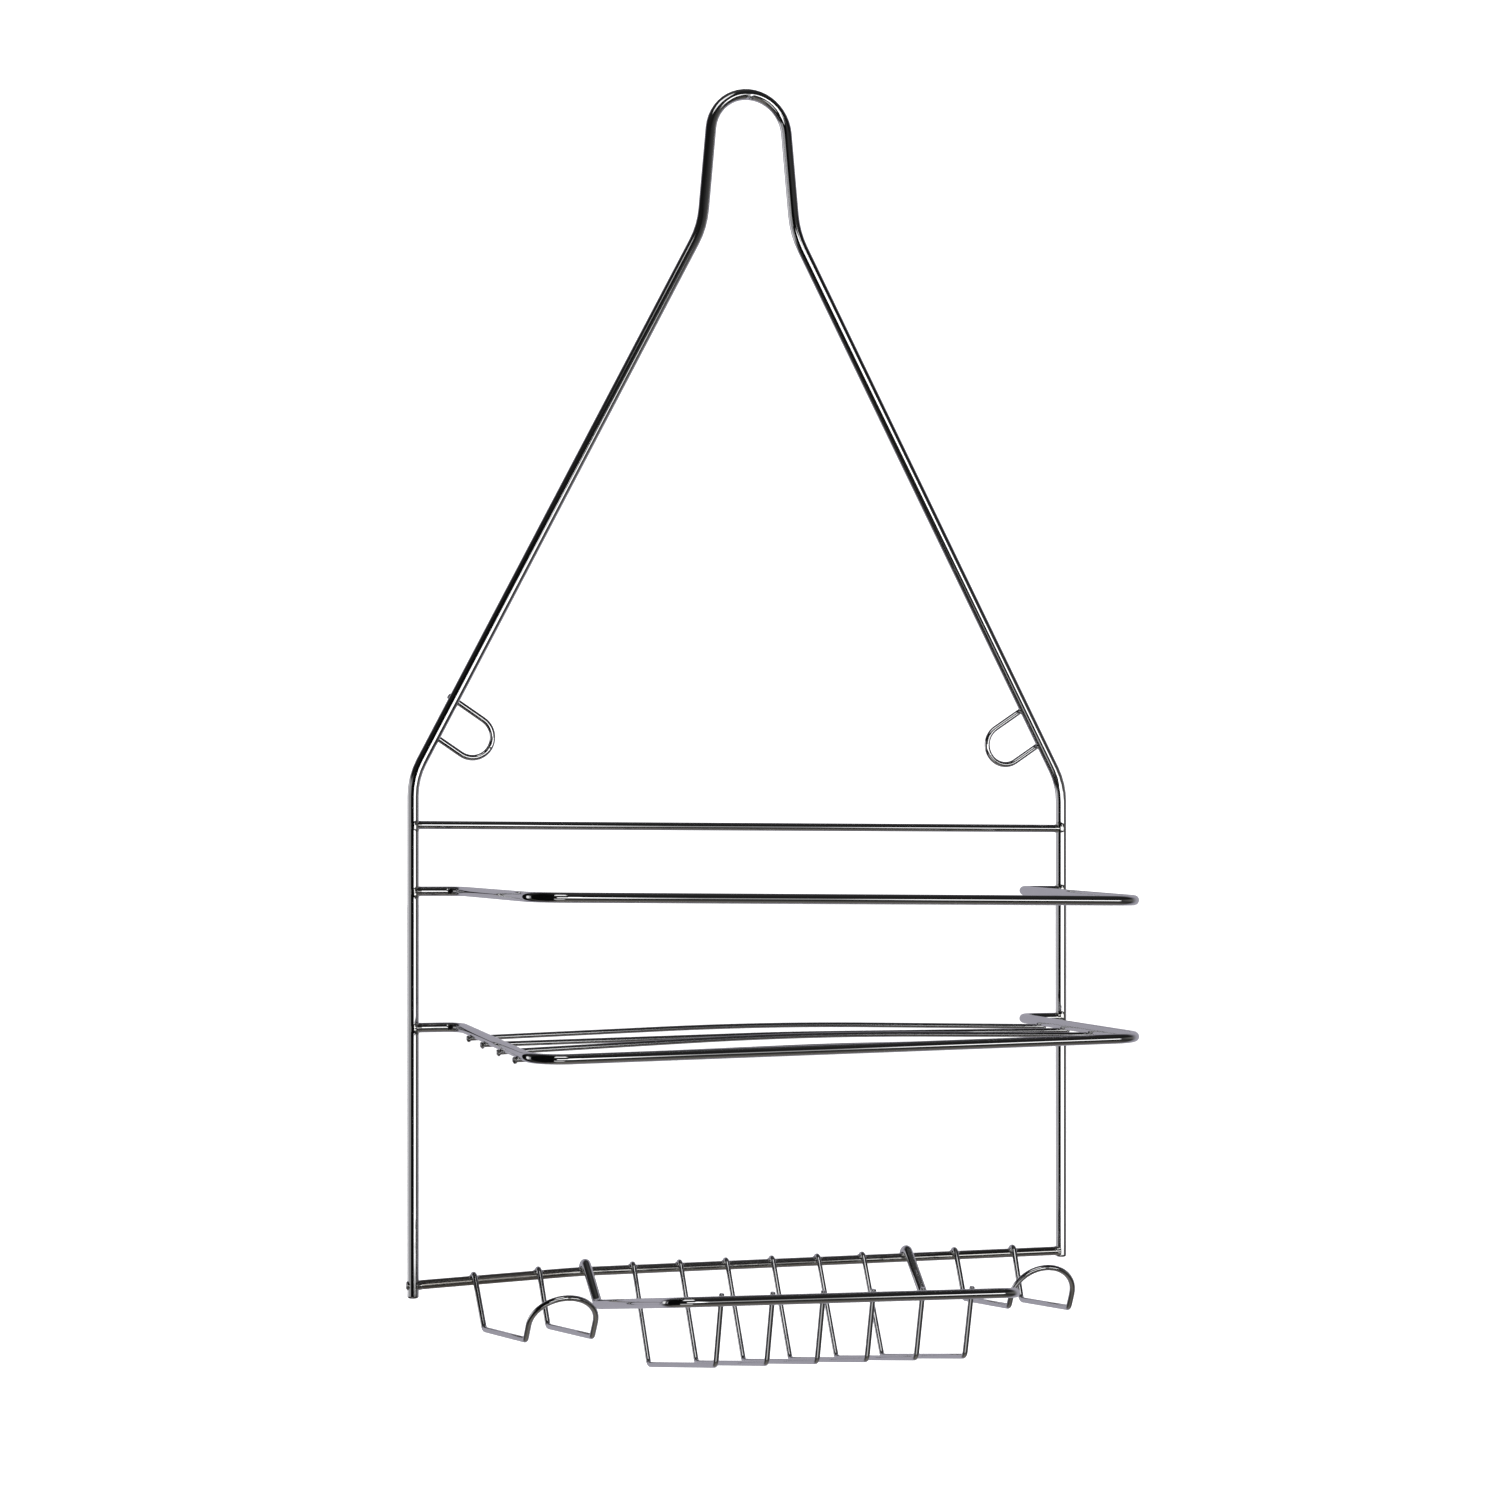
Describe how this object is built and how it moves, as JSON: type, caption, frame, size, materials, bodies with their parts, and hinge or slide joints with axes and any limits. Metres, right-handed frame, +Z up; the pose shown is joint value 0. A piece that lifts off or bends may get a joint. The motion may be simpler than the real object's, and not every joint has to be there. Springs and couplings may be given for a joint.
{
  "type": "shower caddy",
  "caption": "Hanging chrome wire shower caddy with a railed shelf, a wire soap dish, an arched accessory holder at each side and two small side loops.",
  "frame": {"origin": "underside of the hanger loop's crown, where it rests on the shower arm, in the plane of the frame wire", "axes": "+Z up, +X to the right across the caddy, -Y forward, the way the shelf and soap dish reach"},
  "size_m": [0.2651, 0.1196, 0.4834],
  "materials": {
    "chrome": "bright polished chrome plate over steel wire",
    "weld_chrome": "plated weld fillets, slightly rough"
  },
  "bodies": {
    "root": {"frame_wire": "chrome", "top_bar": "chrome", "bottom_rail": "chrome", "guard_rail": "chrome", "shelf_rim": "chrome", "shelf_wire_1": "chrome", "shelf_wire_2": "chrome", "shelf_wire_3": "chrome", "shelf_wire_4": "chrome", "soap_dish_rim": "chrome", "soap_dish_wire_1": "chrome", "soap_dish_wire_2": "chrome", "soap_dish_wire_3": "chrome", "soap_dish_wire_4": "chrome", "soap_dish_wire_5": "chrome", "soap_dish_wire_6": "chrome", "left_holder": "chrome", "right_holder": "chrome", "left_side_loop": "chrome", "right_side_loop": "chrome", "frame_fillets": "weld_chrome"}
  },
  "joints": []
}
